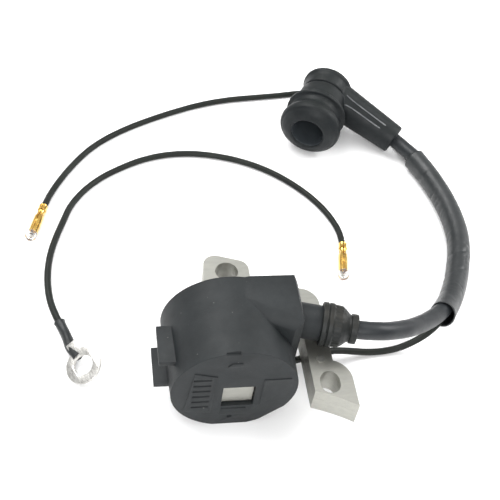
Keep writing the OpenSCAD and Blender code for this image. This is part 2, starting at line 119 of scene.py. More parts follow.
def mathNode(tree, operation, *values):
    node = tree.nodes.new("ShaderNodeMath")
    node.operation = operation
    for socket, value in zip(node.inputs, values):
        if isinstance(value, (int, float)):
            socket.default_value = value
        else:
            tree.links.new(value, socket)
    return node.outputs[0]


# one moulded, drawn or pressed finish: patches of two tones, fine grain, dust on what faces up
def makeFinish(name, base, second, rough=0.5, roughSpread=0.1, metal=0.0, patches=60.0, grainSize=2200.0,
               grainDepth=0.2, waves=None, dust=None, dustAmount=0.3, stretch=(1, 1, 1), coat=0.0,
               specular=0.5, flecks=None, soften=0.0):
    mat, tree, shader = newMaterial(name)
    new, link = tree.nodes.new, tree.links.new
    coordNode = new("ShaderNodeTexCoord")
    mapNode = new("ShaderNodeMapping")
    mapNode.inputs["Scale"].default_value = stretch
    link(coordNode.outputs["Object"], mapNode.inputs["Vector"])
    coords = mapNode.outputs["Vector"]
    patch = noiseNode(tree, coords, patches, 4.0, 0.55)
    color = rampNode(tree, patch, *finishSizes["toneRange"], base, second)
    grain = noiseNode(tree, coords, grainSize, 2.0, 0.6)
    if flecks:
        fleck = noiseNode(tree, coords, flecks[0], 2.0, 0.5)
        mask = rampNode(tree, fleck, flecks[1], flecks[1] + finishSizes["fleckEdge"], (0, 0, 0), (1, 1, 1))
        color = mixColor(tree, mask, color, flecks[2])
    if dust:
        geometry = new("ShaderNodeNewGeometry")
        split = new("ShaderNodeSeparateXYZ")
        link(geometry.outputs["Normal"], split.inputs[0])
        dusty = noiseNode(tree, coords, finishSizes["dustScale"], 5.0, 0.7)
        facingUp = mathNode(tree, "MULTIPLY", split.outputs["Z"], dusty)
        mask = rampNode(tree, facingUp, *finishSizes["dustRange"], (0, 0, 0), (dustAmount,) * 3)
        color = mixColor(tree, mask, color, dust)
    link(color, shader.inputs["Base Color"])
    roughNoise = noiseNode(tree, coords, patches * finishSizes["roughScale"], 4.0, 0.6)
    span = new("ShaderNodeMapRange")
    span.inputs["From Min"].default_value, span.inputs["From Max"].default_value = finishSizes["roughRange"]
    setInputs(span, {"To Min": max(0.02, rough - roughSpread), "To Max": min(1.0, rough + roughSpread)})
    link(roughNoise, span.inputs["Value"])
    link(span.outputs[0], shader.inputs["Roughness"])
    setInputs(shader, {"Metallic": metal, "Specular IOR Level": specular, "Coat Weight": coat,
                       "Coat Roughness": finishSizes["coatRough"]})
    bump = new("ShaderNodeBump")
    setInputs(bump, {"Strength": grainDepth, "Distance": finishSizes["grainBump"]})
    link(grain, bump.inputs["Height"])
    last = bump
    if waves:
        scale, strength, height = waves
        swellBump = new("ShaderNodeBump")
        setInputs(swellBump, {"Strength": strength, "Distance": height})
        link(noiseNode(tree, coords, scale, 2.0, 0.5), swellBump.inputs["Height"])
        link(bump.outputs[0], swellBump.inputs["Normal"])
        last = swellBump
    if soften:
        cornerNode = new("ShaderNodeBevel")
        cornerNode.inputs["Radius"].default_value = soften
        cornerNode.samples = finishSizes["softenSamples"]
        link(cornerNode.outputs[0], bump.inputs["Normal"])
    link(last.outputs[0], shader.inputs["Normal"])
    return mat


# clear soft plastic, a little uneven
def makeClear(name):
    mat, tree, shader = newMaterial(name)
    new, link = tree.nodes.new, tree.links.new
    coords = new("ShaderNodeTexCoord").outputs["Object"]
    link(rampNode(tree, noiseNode(tree, coords, 300.0), 0.3, 0.7, (0.93, 0.93, 0.9), (1, 1, 0.99)),
         shader.inputs["Base Color"])
    setInputs(shader, {"Transmission Weight": 0.95, "IOR": 1.4})
    bump = new("ShaderNodeBump")
    setInputs(bump, {"Strength": 0.4, "Distance": 0.0002})
    link(noiseNode(tree, coords, 700.0), bump.inputs["Height"])
    link(bump.outputs[0], shader.inputs["Normal"])
    span = new("ShaderNodeMapRange")
    setInputs(span, {"To Min": 0.04, "To Max": 0.22})
    link(noiseNode(tree, coords, 900.0), span.inputs["Value"])
    link(span.outputs[0], shader.inputs["Roughness"])
    return mat


finishes = {
    "housing": makeFinish("housingPlastic", (0.0085, 0.0105, 0.0115), (0.015, 0.018, 0.0195), 0.58, 0.04,
                          patches=70, grainSize=2600, grainDepth=0.6, dust=(0.06, 0.064, 0.062), dustAmount=0.1,
                          flecks=(700, 0.74, (0.09, 0.09, 0.085)), soften=0.00022, specular=0.3),
    "boot": makeFinish("bootRubber", (0.004, 0.0055, 0.0065), (0.008, 0.0105, 0.0115), 0.52, patches=110,
                       grainSize=1900, grainDepth=0.35, dust=(0.03, 0.034, 0.028), dustAmount=0.3,
                       waves=(180, 0.2, 0.0005), specular=0.24),
    # inside of the plug's bore: the same rubber as the boot but much lighter, painted light in the bore's shade
    "bore": makeFinish("paintedLightBoreRubber", (0.03, 0.035, 0.04), (0.042, 0.05, 0.056), 0.5, patches=150,
                       grainSize=1500, grainDepth=0.3),
    # ridge lines on the boot's arm: much lighter and glossier than the boot's rubber, a painted highlight along each
    # ridge
    "ridgePaintedHighlight": makeFinish("bootRidgePaintedHighlight", (0.045, 0.05, 0.054), (0.085, 0.09, 0.094), 0.22, 0.06, patches=260,
                        grainSize=1900, grainDepth=0.15, specular=0.6, coat=0.4),
    "gland": makeFinish("glandRubber", (0.005, 0.0065, 0.0065), (0.0095, 0.011, 0.0105), 0.48, 0.12, patches=190,
                        grainSize=2400, grainDepth=0.5, dust=(0.05, 0.044, 0.034), dustAmount=0.4, specular=0.28),
    "lead": makeFinish("leadJacket", (0.0105, 0.0125, 0.0145), (0.018, 0.0205, 0.0225), 0.42, patches=80,
                       grainSize=2600, grainDepth=0.25, waves=(260, 0.2, 0.0003), specular=0.32),
    "sleeve": makeFinish("sleeveVinyl", (0.013, 0.0155, 0.0165), (0.022, 0.0245, 0.0255), 0.44, patches=140,
                         grainSize=1500, grainDepth=0.3, waves=(420, 0.35, 0.0004), coat=0.08, specular=0.45),
    "wire": makeFinish("wireVinyl", (0.0045, 0.006, 0.0045), (0.0085, 0.011, 0.0085), 0.52, patches=70,
                       grainSize=2200, grainDepth=0.2, waves=(300, 0.2, 0.0002), specular=0.26),
    "tubing": makeFinish("shrinkTubing", (0.007, 0.0085, 0.009), (0.013, 0.0155, 0.0165), 0.46, 0.12, patches=200,
                         grainSize=1800, grainDepth=0.45, waves=(500, 0.3, 0.0003), specular=0.4),
    "brass": makeFinish("brightBrass", (0.72, 0.42, 0.09), (0.88, 0.6, 0.18), 0.22, 0.08, 1.0, patches=350,
                        grainSize=2600, grainDepth=0.15, waves=(700, 0.2, 0.0002)),
    "tin": makeFinish("tinPlate", (0.5, 0.49, 0.46), (0.74, 0.73, 0.7), 0.34, 0.12, 1.0, patches=500,
                      grainSize=3000, grainDepth=0.3, stretch=(1, 1, 6), waves=(600, 0.15, 0.0002)),
    "steel": makeFinish("laminationSteel", (0.35, 0.35, 0.32), (0.39, 0.385, 0.35), 0.38, 0.03, 0.9, patches=900,
                        grainSize=4200, grainDepth=0.06, stretch=(0.25, 1, 1)),
    "rivet": makeFinish("rivetSteel", (0.3, 0.3, 0.28), (0.46, 0.46, 0.43), 0.4, 0.1, 0.9, patches=500),
    "potting": makeFinish("pottingResin", (0.005, 0.005, 0.006), (0.01, 0.01, 0.011), 0.2, 0.08, patches=60,
                          grainSize=900, grainDepth=0.15, waves=(90, 0.3, 0.0006), coat=0.3),
    "bobbin": makeFinish("bobbinNylon", (0.012, 0.012, 0.012), (0.02, 0.02, 0.02), 0.5, patches=90),
    "copper": makeFinish("enamelledCopper", (0.5, 0.16, 0.06), (0.62, 0.24, 0.1), 0.28, 0.08, 1.0, patches=200,
                         stretch=(0.2, 12, 0.2)),
    "tape": makeFinish("amberTape", (0.5, 0.28, 0.04), (0.6, 0.36, 0.07), 0.3, patches=70),
    "darkPlastic": makeFinish("greenPlastic", (0.012, 0.03, 0.025), (0.02, 0.045, 0.04), 0.5, patches=90),
    "board": makeFinish("boardLaminate", (0.015, 0.09, 0.04), (0.02, 0.13, 0.06), 0.32, 0.08, patches=160),
    "chip": makeFinish("chipEpoxy", (0.015, 0.015, 0.016), (0.03, 0.03, 0.03), 0.6, patches=200),
    "capacitor": makeFinish("capacitorDip", (0.4, 0.06, 0.03), (0.5, 0.1, 0.05), 0.25, 0.08, patches=120),
    "resistor": makeFinish("resistorLacquer", (0.5, 0.4, 0.25), (0.6, 0.5, 0.32), 0.3, 0.08, patches=160),
    "spring": makeFinish("springSteel", (0.5, 0.5, 0.48), (0.65, 0.65, 0.62), 0.3, 0.1, 1.0, patches=300),
    "clear": makeClear("clearVinyl"),
}
print("finishes made:", len(finishes))


def addMesh(name, verts, faces, mat, smooth=True):
    mesh = bpy.data.meshes.new(name)
    mesh.from_pydata([tuple(map(float, v)) for v in verts], [], faces)
    mesh.update()
    return addObject(name, mesh, mat, smooth)


def addObject(name, mesh, mat, smooth=True):
    obj = bpy.data.objects.new(name, mesh)
    bpy.context.scene.collection.objects.link(obj)
    if mat:
        mesh.materials.clear()
        mesh.materials.append(mat)
    for p in mesh.polygons:
        p.use_smooth = smooth
    return obj


# applies an object's modifiers, or turns a curve into a mesh
def plainMesh(obj):
    graph = bpy.context.evaluated_depsgraph_get()
    mesh = bpy.data.meshes.new_from_object(obj.evaluated_get(graph), depsgraph=graph)
    obj.modifiers.clear()
    old = obj.data
    if obj.type == "MESH":
        obj.data = mesh
        bpy.data.meshes.remove(old)
        return obj
    fresh = bpy.data.objects.new(obj.name, mesh)
    bpy.context.scene.collection.objects.link(fresh)
    name = obj.name
    bpy.data.objects.remove(obj)
    fresh.name = name
    return fresh


# joins doubled points and turns every face outwards
def outward(obj):
    work = bmesh.new()
    work.from_mesh(obj.data)
    bmesh.ops.remove_doubles(work, verts=work.verts, dist=1e-7)
    bmesh.ops.recalc_face_normals(work, faces=work.faces)
    work.to_mesh(obj.data)
    work.free()
    return obj


# smooth shading with sharp edges where faces meet at more than this angle
def byAngle(obj, degrees):
    obj.data.shade_smooth()
    obj.data.set_sharp_from_angle(angle=math.radians(degrees))
    return obj


# smooth line through given points, spaced evenly
def smoothLine(points, step):
    p = np.array(points, float)
    t = np.concatenate([[0], np.cumsum(np.linalg.norm(np.diff(p, axis=0), axis=1))])
    tangent = np.gradient(p, t, axis=0)
    between = 16
    fine = []
    for i in range(len(p) - 1):
        h = t[i + 1] - t[i]
        for u in np.linspace(0, 1, between, endpoint=False):
            a = 2 * u ** 3 - 3 * u ** 2 + 1
            b = u ** 3 - 2 * u ** 2 + u
            c = -2 * u ** 3 + 3 * u ** 2
            d = u ** 3 - u ** 2
            fine.append(a * p[i] + b * h * tangent[i] + c * p[i + 1] + d * h * tangent[i + 1])
    fine.append(p[-1])
    fine = np.array(fine)
    s = np.concatenate([[0], np.cumsum(np.linalg.norm(np.diff(fine, axis=0), axis=1))])
    count = max(8, int(round(s[-1] / step)))
    at = np.linspace(0, s[-1], count + 1)
    return np.stack([np.interp(at, s, fine[:, k]) for k in range(3)], 1)


def lineLength(line):
    return float(np.linalg.norm(np.diff(line, axis=0), axis=1).sum())


# forward, side and up vectors along a line
def lineFrame(line):
    d = np.gradient(line, axis=0)
    d /= np.linalg.norm(d, axis=1)[:, None]
    side = np.cross(d, [0, 0, 1.0])
    side /= np.linalg.norm(side, axis=1)[:, None]
    return d, side, np.cross(side, d)


# faces between m rings of n points, counted from a first point
def loftFaces(m, n, first=0, flipped=False):
    faces = []
    for i in range(m - 1):
        for j in range(n):
            a, b = first + i * n + j, first + i * n + (j + 1) % n
            face = (a, b, b + n, a + n)
            faces.append(face[::-1] if flipped else face)
    return faces


# closed skin over a row of rings
def loft(name, rings, mat):
    m, n = rings.shape[:2]
    faces = loftFaces(m, n)
    faces.append(tuple(range(n))[::-1])
    faces.append(tuple((m - 1) * n + j for j in range(n)))
    return outward(addMesh(name, rings.reshape(-1, 3), faces, mat))


# rounds the corners of an open profile
def rounded(profile, radius, steps=4):
    p = [np.array(q, float) for q in profile]
    out = [p[0]]
    for i in range(1, len(p) - 1):
        a, b = p[i - 1] - p[i], p[i + 1] - p[i]
        la, lb = np.linalg.norm(a), np.linalg.norm(b)
        r = min(radius, la * 0.45, lb * 0.45)
        start, end = p[i] + a / la * r, p[i] + b / lb * r
        for u in np.linspace(0, 1, steps + 1):
            out.append((1 - u) ** 2 * start + 2 * u * (1 - u) * p[i] + u * u * end)
    out.append(p[-1])
    return out


# solid of revolution: profile of (along, radius) pairs in mm, placed by a matrix
def turned(name, profile, place, mat, sides=96):
    angles = np.linspace(0, 2 * math.pi, sides, endpoint=False)
    verts = [(r * math.cos(t), r * math.sin(t), n) for n, r in profile for t in angles]
    obj = addMesh(name, np.array(verts) * mm, loftFaces(len(profile), sides), mat)
    obj.data.transform(place)
    return outward(obj)


# key under which a modifier keeps an input of its node group
def socketOf(group, name):
    return [i.identifier for i in group.interface.items_tree
            if i.item_type == "SOCKET" and i.in_out == "INPUT" and i.name == name][0]


def newTree(name, sizes):
    tree = bpy.data.node_groups.new(name, "GeometryNodeTree")
    tree.interface.new_socket("Geometry", in_out="INPUT", socket_type="NodeSocketGeometry")
    for label, kind, value in sizes:
        socket = tree.interface.new_socket(label, in_out="INPUT", socket_type=kind)
        if value is not None:
            socket.default_value = value
    tree.interface.new_socket("Geometry", in_out="OUTPUT", socket_type="NodeSocketGeometry")
    return tree, tree.nodes.new("NodeGroupInput"), tree.nodes.new("NodeGroupOutput")


def closeTree(tree, geometry, groupIn, groupOut):
    real = tree.nodes.new("GeometryNodeRealizeInstances")
    paint = tree.nodes.new("GeometryNodeSetMaterial")
    tree.links.new(geometry, real.inputs[0])
    tree.links.new(real.outputs[0], paint.inputs["Geometry"])
    tree.links.new(groupIn.outputs["Material"], paint.inputs["Material"])
    tree.links.new(paint.outputs[0], groupOut.inputs[0])


def runTree(obj, tree, values):
    modifier = obj.modifiers.new(tree.name, "NODES")
    modifier.node_group = tree
    for label, value in values.items():
        modifier[socketOf(tree, label)] = value
    return plainMesh(obj)


unevenScale = 260.0


# a round jacket that follows a line of edges
def jacketTree():
    tree, groupIn, groupOut = newTree("jacketAlongLine", [
        ("Radius", "NodeSocketFloat", 0.001), ("Sides", "NodeSocketInt", 24),
        ("Unevenness", "NodeSocketFloat", 0.0),
        ("Seed", "NodeSocketFloat", 3.0), ("Material", "NodeSocketMaterial", None)])
    given, new, link = groupIn.outputs, tree.nodes.new, tree.links.new
    toCurve = new("GeometryNodeMeshToCurve")
    circle = new("GeometryNodeCurvePrimitiveCircle")
    toMesh = new("GeometryNodeCurveToMesh")
    toMesh.inputs["Fill Caps"].default_value = True
    move = new("GeometryNodeSetPosition")
    noise = new("ShaderNodeTexNoise")
    noise.noise_dimensions = "4D"
    noise.inputs["Scale"].default_value = unevenScale
    normal = new("GeometryNodeInputNormal")
    scale = new("ShaderNodeVectorMath")
    scale.operation = "SCALE"
    smooth = new("GeometryNodeSetShadeSmooth")
    link(given["Seed"], noise.inputs["W"])
    spread = mathNode(tree, "SUBTRACT", noise.outputs["Fac"], 0.5)
    swell = mathNode(tree, "MULTIPLY", spread, given["Unevenness"])
    for source, target in (
            (given["Geometry"], toCurve.inputs[0]), (given["Radius"], circle.inputs["Radius"]),
            (given["Sides"], circle.inputs["Resolution"]), (toCurve.outputs[0], toMesh.inputs["Curve"]),
            (circle.outputs[0], toMesh.inputs["Profile Curve"]), (normal.outputs[0], scale.inputs[0]),
            (swell, scale.inputs["Scale"]), (toMesh.outputs[0], move.inputs["Geometry"]),
            (scale.outputs[0], move.inputs["Offset"]), (move.outputs[0], smooth.inputs[0])):
        link(source, target)
    closeTree(tree, smooth.outputs[0], groupIn, groupOut)
    return tree


jacket = jacketTree()


def jacketed(name, line, diameter, mat, sides=24, unevenness=0.0, seed=3.0):
    mesh = bpy.data.meshes.new(name)
    mesh.from_pydata([tuple(map(float, p)) for p in line], [(i, i + 1) for i in range(len(line) - 1)], [])
    obj = addObject(name, mesh, None)
    obj = runTree(obj, jacket, {"Radius": diameter / 2, "Sides": sides, "Unevenness": unevenness,
                                "Seed": seed, "Material": mat})
    return outward(obj)


# places of the neck, the boot and the bench, in millimetres
placeSizes = {"neck": (20.6, 18.5, 13.0), "neckAngle": -15, "boot": (59.2, 153.3, -0.9),
              "bootTurn": (1.7, 14, -38), "bend": -78, "floor": -16.0, "wireRadius": 1.25}


def framed(at, turn):
    x, y, z = (math.radians(t) for t in turn)
    return (Matrix.Translation(Vector(at) * mm) @ Matrix.Rotation(z, 4, "Z") @ Matrix.Rotation(y, 4, "Y")
            @ Matrix.Rotation(x, 4, "X"))


alongX = Matrix.Rotation(math.pi / 2, 4, "Y")
neckTurn = math.radians(placeSizes["neckAngle"])
neckAt = np.array(placeSizes["neck"])
neckDir = np.array((math.cos(neckTurn), math.sin(neckTurn), 0))
neckPlace = framed(placeSizes["neck"], (0, 0, placeSizes["neckAngle"])) @ alongX
bootAt = np.array(placeSizes["boot"])
bootPlace = framed(placeSizes["boot"], placeSizes["bootTurn"])
armDir = np.array((bootPlace.to_3x3() @ Vector((1, 0, 0)))[:])
nosePlace = bootPlace @ Matrix.Rotation(math.radians(placeSizes["bend"]), 4, "Z") @ alongX
floorZ = placeSizes["floor"]
lie = floorZ + placeSizes["wireRadius"]

# leads: diameters in metres, the sleeve's section in millimetres
leadSizes = {"leadDiameter": 0.0062, "wireDiameter": 0.0025, "sleeveHalfWidth": 4.4, "sleeveHalfHeight": 5.0,
             "sleeveWall": 0.5, "sleeveSides": 48, "creases": 46, "glandEnd": 19.8}
leadRoute = ([tuple(neckAt + s * neckDir) for s in (4, 9.5, 15, leadSizes["glandEnd"])] + [
    (47, 12.8, 12.4), (57, 16, 8.4), (67.5, 22.5, 2.4), (77.5, 30.5, -2.6), (84.5, 38, -5.8),
    (90, 47, -8.2), (94.5, 56.5, -9.3), (98, 66, -9.7), (100.2, 75, -9.7), (100.8, 84, -9.7),
    (100.3, 93.5, -9.7), (98.8, 103, -9.7), (96.6, 112, -9.7), (94, 120, -9.9), (91, 126.3, -10.4)]
    + [tuple(bootAt + s * armDir) for s in (36.2, 26, 14)])
sleeveRoute = [(79.3, 31, -4.1), (85, 38.7, -7.5), (90.3, 47.4, -9.8), (94.7, 56.7, -10.8), (98.1, 66, -11),
               (100.2, 75, -11), (100.8, 84, -11), (100.3, 93.5, -11), (98.8, 103, -11), (96.6, 112, -11),
               (94, 120, -11)]


def onBench(*points):
    return [(x, y, lie) for x, y in points]


stopRoute = [(12, 17, -9.3), (18.5, 17, -9.3), (27, 18.6, -9.4), (34, 20.8, -9.6), (40, 22, -11),
             (46, 22.8, -13), (52, 23.2, -14.5), (58, 23.5, -14.7), (63.5, 23.9, -13.6), (69, 24.9, -11.4),
             (74.5, 27, -9), (79.7, 31, -7.7), (85, 38.8, -10.8), (90.3, 47.4, -13.2), (94.7, 56.7, -14.2),
             (98.1, 66, -14.2), (100.8, 84, -14.2), (98.8, 103, -14.2), (94, 120, -14.2)] + onBench(
    (91.8, 131), (90, 141), (86, 151), (80, 160), (72, 167), (62, 170), (51.5, 169.2), (41, 167.5), (30, 166),
    (18, 164.2), (5, 160.7), (-7, 155.8), (-18, 150.5), (-28, 144.8), (-36.5, 138.8), (-44, 131.8),
    (-50.5, 123.2), (-56, 114), (-60.2, 105.2), (-62.6, 98.5))
jumperRoute = onBench(
    (-52.8, 31), (-54.6, 37), (-57.4, 44), (-59.6, 51), (-60.6, 58), (-60.7, 66), (-59.8, 74), (-57.9, 82),
    (-55.2, 90.5), (-52.6, 98), (-47.5, 106.5), (-41, 113.5), (-32, 120), (-22.5, 125), (-12, 128), (-1, 128.5),
    (10, 126.6), (20.5, 122.8), (30.5, 116.8), (39.5, 108.6), (46.5, 99.5), (51, 90.5), (53.2, 82), (53.2, 75))
stopEnd = ((-62.6, 98.5), (-67.2, 82))
jumperEnd = ((53.2, 75), (50.4, 60.5))
ringEnd = ((-52.8, 31), (-48.4, 21.6))

leadLine = smoothLine(leadRoute, 1.2) * mm
stopLine = smoothLine(stopRoute, 1.5) * mm
jumperLine = smoothLine(jumperRoute, 1.5) * mm
sleeveLine = smoothLine(sleeveRoute, 0.5) * mm

plugLead = jacketed("plugLead", leadLine, leadSizes["leadDiameter"], finishes["lead"], 32, 0.00012)
stopWire = jacketed("stopWire", stopLine, leadSizes["wireDiameter"], finishes["wire"], 16, 0.00008, 5.0)
jumperWire = jacketed("jumperWire", jumperLine, leadSizes["wireDiameter"], finishes["wire"], 16, 0.00008, 8.0)
print("leads made: plug", round(lineLength(leadLine), 4), "stop", round(lineLength(stopLine), 4),
      "jumper", round(lineLength(jumperLine), 4), "sleeve", round(lineLength(sleeveLine), 4))


# loose vinyl sleeve: creases gather inside the bend, and the mouths open a little
def makeSleeve():
    line = sleeveLine
    _, side, up = lineFrame(line)
    n = leadSizes["sleeveSides"]
    angles = np.linspace(0, 2 * math.pi, n, endpoint=False)
    s = np.concatenate([[0], np.cumsum(np.linalg.norm(np.diff(line, axis=0), axis=1))]) / mm
    total = s[-1]
    rng = np.random.default_rng(11)
    crease = np.zeros((len(line), n))
    for k in range(leadSizes["creases"]):
        at = rng.uniform(6, total - 4)
        where = rng.normal(math.pi if k % 3 else 0.4, 0.5)
        lean = rng.normal(0, 1.6)
        wide = rng.uniform(0.35, 0.8)
        span = rng.uniform(0.3, 0.8)
        depth = rng.uniform(0.1, 0.34)
        turn = (angles - where + math.pi) % (2 * math.pi) - math.pi
        centre = at + lean * turn
        along = np.exp(-((s[:, None] - centre[None]) / wide) ** 2)
        crease -= depth * along * np.exp(-(turn[None] / span) ** 2)
    flare = 0.45 * np.exp(-s / 2.2) + 0.35 * np.exp(-(total - s) / 2.0)
    outer, inner = [], []
    for i in range(len(line)):
        a = leadSizes["sleeveHalfWidth"] + crease[i] * 0.8 + flare[i] * 0.5
        b = leadSizes["sleeveHalfHeight"] + crease[i] * 0.8 + flare[i] * 0.3
        b = np.minimum(b, line[i, 2] / mm - floorZ)
        for store, less in ((outer, 0.0), (inner, leadSizes["sleeveWall"])):
            store.append(line[i] + mm * ((a - less) * np.cos(angles))[:, None] * side[i]
                         + mm * ((b - less) * np.sin(angles))[:, None] * up[i])
    m = len(line)
    verts = np.concatenate([np.array(outer).reshape(-1, 3), np.array(inner).reshape(-1, 3)])
    faces = loftFaces(m, n) + loftFaces(m, n, m * n, True)
    for end in (0, m - 1):
        for j in range(n):
            a, b = end * n + j, end * n + (j + 1) % n
            face = (a, a + m * n, b + m * n, b)
            faces.append(face if end == 0 else face[::-1])
    return outward(addMesh("sleeveTube", verts, faces, finishes["sleeve"]))


sleeveTube = makeSleeve()
print("sleeve made")


# core: a stack of stamped sheets
coreSizes = {"sheets": 20, "pitch": 0.0005, "edgeRound": 0.00004, "gap": 0.00001, "slip": 0.00003,
             "poleHalf": 5, "flywheel": 72, "yokeFront": 29, "depth": 38, "yokeLeft": -8, "legLeft": 24,
             "legRight": 32, "corner": 7, "slot": (29.5, -0.2), "slotLow": (29.5, -1.8), "slotRadius": 3.3,
             "lugRadius": 7.8, "lugRight": 37.3, "rearHole": (1.5, 46.5), "rearRadius": 4, "rearRound": 4.3,
             "rearLeft": (-2.1, 49.7), "rearRight": (5.2, 47.4), "rivetRadius": 1.2,
             "rivets": ((28, 8), (18, 33.5), (-3, 33.5))}


def arcPoints(centre, radius, start, end, count):
    angles = np.radians(np.linspace(start, end, count))
    return [(centre[0] + radius * math.cos(t), centre[1] + radius * math.sin(t)) for t in angles]


def coreOutline():
    c = coreSizes
    pole, left, depth, front = c["poleHalf"], c["legLeft"], c["depth"], c["yokeFront"]
    sweep = [(x, math.sqrt(c["flywheel"] ** 2 - x * x) - c["flywheel"])
             for x in np.linspace(left, c["lugRight"], 10)]
    line = [(-pole, 0), (pole, 0), (pole, front), (left, front)] + sweep
    line += arcPoints(c["slot"], c["lugRadius"], 0, 71.3, 12) + [(c["legRight"], 12)]
    line += arcPoints((c["legRight"] - c["corner"], depth - c["corner"]), c["corner"], 0, 90, 12)
    line += [(9.5, depth), (9.5, 47.4)] + arcPoints(c["rearRight"], c["rearRound"], 0, 72.5, 9)
    line += arcPoints(c["rearLeft"], c["rearRound"], 72.5, 180, 12)
    line += [(-7.6, depth), (c["yokeLeft"], depth), (c["yokeLeft"], front), (-pole, front)]
    return line


def coreHoles():
    c = coreSizes
    slot = (arcPoints(c["slot"], c["slotRadius"], 0, 180, 20)
            + arcPoints(c["slotLow"], c["slotRadius"], 180, 360, 20))
    return [arcPoints(c["rearHole"], c["rearRadius"], 0, 360, 49)[:-1], slot] + [
        arcPoints(at, c["rivetRadius"], 0, 360, 17)[:-1] for at in c["rivets"]]


# flat sheet with softened edges, filled between its loops
def flatPlate(name, loops, thick, edgeRound, mat, resolution=1):
    curve = bpy.data.curves.new(name, "CURVE")
    curve.dimensions = "2D"
    curve.fill_mode = "BOTH"
    curve.extrude = thick / 2 - edgeRound
    curve.bevel_depth = edgeRound
    curve.bevel_resolution = resolution
    curve.offset = -edgeRound
    for loop in loops:
        spline = curve.splines.new("POLY")
        spline.points.add(len(loop) - 1)
        for point, (x, y) in zip(spline.points, loop):
            point.co = (x * mm, y * mm, 0, 1)
        spline.use_cyclic_u = True
    obj = bpy.data.objects.new(name, curve)
    bpy.context.scene.collection.objects.link(obj)
    obj = plainMesh(obj)
    obj.data.materials.clear()
    obj.data.materials.append(mat)
    return outward(obj)


# copies of one sheet, one pitch apart, each a little out of line
def stackTree():
    tree, groupIn, groupOut = newTree("stackOfSheets", [
        ("Sheets", "NodeSocketInt", 20), ("Pitch", "NodeSocketFloat", 0.0005),
        ("Slip", "NodeSocketFloat", 0.0),
        ("Seed", "NodeSocketInt", 4), ("Material", "NodeSocketMaterial", None)])
    given, new, link = groupIn.outputs, tree.nodes.new, tree.links.new
    line = new("GeometryNodeMeshLine")
    line.mode = "OFFSET"
    offset = new("ShaderNodeCombineXYZ")
    startAt = new("ShaderNodeCombineXYZ")
    slip = new("FunctionNodeRandomValue")
    slip.data_type = "FLOAT_VECTOR"
    setInputs(slip, {"Min": (-1, -1, 0), "Max": (1, 1, 0)})
    scale = new("ShaderNodeVectorMath")
    scale.operation = "SCALE"
    move = new("GeometryNodeSetPosition")
    put = new("GeometryNodeInstanceOnPoints")
    half = mathNode(tree, "MULTIPLY", mathNode(tree, "SUBTRACT", given["Sheets"], 1), -0.5)
    start = mathNode(tree, "MULTIPLY_ADD", half, given["Pitch"], 0)
    for source, target in (
            (given["Sheets"], line.inputs["Count"]), (given["Pitch"], offset.inputs["Z"]),
            (offset.outputs[0], line.inputs["Offset"]), (start, startAt.inputs["Z"]),
            (startAt.outputs[0], line.inputs["Start Location"]), (given["Seed"], slip.inputs["Seed"]),
            (slip.outputs[0], scale.inputs[0]), (given["Slip"], scale.inputs["Scale"]),
            (line.outputs[0], move.inputs["Geometry"]), (scale.outputs[0], move.inputs["Offset"]),
            (move.outputs[0], put.inputs["Points"]), (given["Geometry"], put.inputs["Instance"])):
        link(source, target)
    closeTree(tree, put.outputs[0], groupIn, groupOut)
    return tree


sheet = flatPlate("coreSheets", [coreOutline()] + coreHoles(), coreSizes["pitch"] - coreSizes["gap"],
                  coreSizes["edgeRound"], finishes["steel"])
coreSheets = runTree(sheet, stackTree(), {"Sheets": coreSizes["sheets"], "Pitch": coreSizes["pitch"],
                                          "Slip": coreSizes["slip"], "Seed": 4, "Material": finishes["steel"]})
coreSheets.data.set_sharp_from_angle(angle=math.radians(30))
upright = 0.99
for p in coreSheets.data.polygons:
    p.use_smooth = abs(p.normal.z) < upright
print("core made")

# housing: moulded edges on the drum
housingSizes = {"edge": 0.0003, "steps": 2, "angle": 32, "flat": 1.0, "join": 2e-6, "sharp": 40,
                "middle": (-1.5, 3.6), "radius": 20.4, "draft": 1.1, "length": 29.0, "front": -1.5,
                "skinDepth": 0.2, "facing": 0.995}


# copy of a node with rounded edges
def mouldedCopy(name, node, mat, sizes):
    work = bmesh.new()
    work.from_mesh(nodes[node].data)
    bmesh.ops.remove_doubles(work, verts=work.verts, dist=sizes["join"])
    bmesh.ops.dissolve_limit(work, angle_limit=math.radians(sizes["flat"]), verts=work.verts, edges=work.edges)
    mesh = bpy.data.meshes.new(name)
    work.to_mesh(mesh)
    work.free()
    obj = addObject(name, mesh, mat)
    bevel = obj.modifiers.new("edge", "BEVEL")
    bevel.width = sizes["edge"]
    bevel.segments = sizes["steps"]
    bevel.limit_method = "ANGLE"
    bevel.angle_limit = math.radians(sizes["angle"])
    bevel.use_clamp_overlap = True
    return byAngle(plainMesh(obj), sizes["sharp"])


# true cone normals on the drum's skin, so that its flats do not show as stripes
def smoothCone(obj, sizes):
    mesh = obj.data
    normals = [Vector(n.vector) for n in mesh.corner_normals]
    x, z = sizes["middle"]
    slope = sizes["draft"] / sizes["length"]
    for p in mesh.polygons:
        out = Vector((p.center.x / mm - x, 0, p.center.z / mm - z))
        expected = sizes["radius"] + slope * (p.center.y / mm - sizes["front"])
        if abs(out.length - expected) > sizes["skinDepth"] or p.normal.dot(out.normalized()) < sizes["facing"]:
            continue
        for i in p.loop_indices:
            at = mesh.vertices[mesh.loops[i].vertex_index].co / mm
            normals[i] = Vector((at.x - x, -slope * sizes["radius"], at.z - z)).normalized()
    mesh.normals_split_custom_set(normals)


drumHousing = mouldedCopy("drumHousing", "housing", finishes["housing"], housingSizes)
smoothCone(drumHousing, housingSizes)
print("housing made,", len(drumHousing.data.polygons), "faces")

# gland over the neck
glandSizes = {"inner": 5.94, "from": 7.8, "end": 19.8, "step": 13.3, "leadRadius": 3.13, "ribs": 26,
              "ribHigh": 0.16, "round": 0.35, "sides": 104, "tabLow": (3.4, 5, 6.2), "tabHigh": (5.8, 7, 8.6),
              "tabRound": 0.4}


